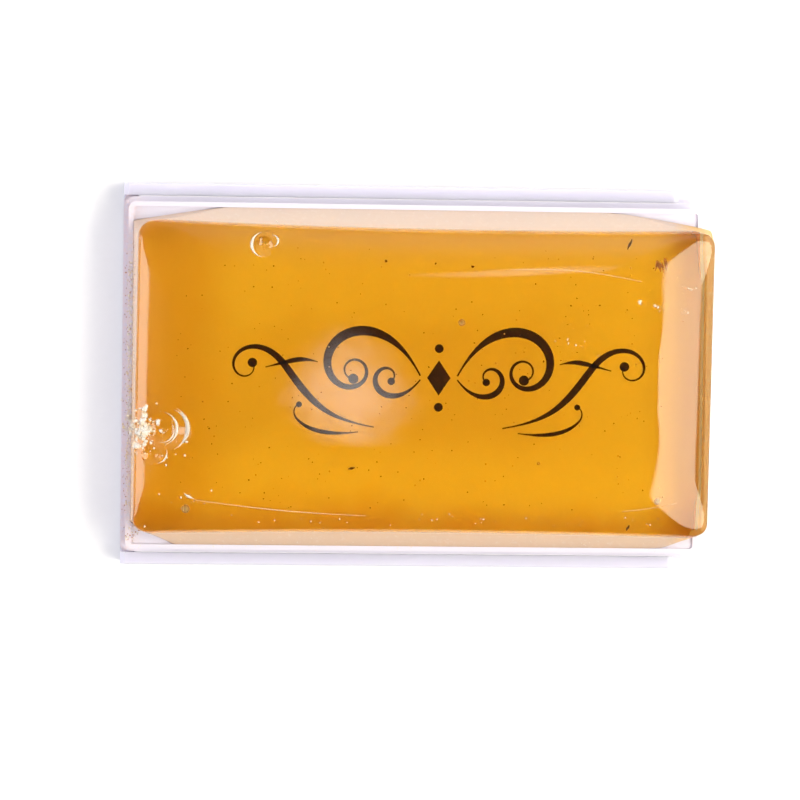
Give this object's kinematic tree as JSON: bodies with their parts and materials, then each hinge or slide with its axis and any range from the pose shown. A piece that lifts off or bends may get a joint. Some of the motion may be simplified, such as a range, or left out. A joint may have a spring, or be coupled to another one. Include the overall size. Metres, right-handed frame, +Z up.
{
  "type": "rosin cake",
  "caption": "Amber cake of bow rosin on a printed label in a clear thin-walled tray that slides lengthwise in a white channel.",
  "frame": {"origin": "middle of the channel's underside, the face that the case rests on", "axes": "+X along the slide, the way the tray draws out; +Y across the case; +Z up through the cake's flat top"},
  "size_m": [0.0597, 0.039, 0.012],
  "materials": {
    "white_plastic": "smooth moulded white plastic with a soft gloss",
    "clear_plastic": "clear moulded styrene, slightly milky, rubbed dull at one end",
    "label_paper": "smooth white label paper",
    "amber_rosin": "translucent amber rosin, glossy, brittle",
    "black_ink": "printed ink"
  },
  "bodies": {
    "channel": {"slide_channel": "white_plastic"},
    "tray": {"cake_tray": "clear_plastic", "label_sheet": "label_paper", "rosin_cake": "amber_rosin"}
  },
  "joints": [
    {"name": "tray_slide", "type": "slide", "parent": "channel", "child": "tray", "axis": [1, 0, 0], "range_m": [-0.0024, 0.042]}
  ]
}
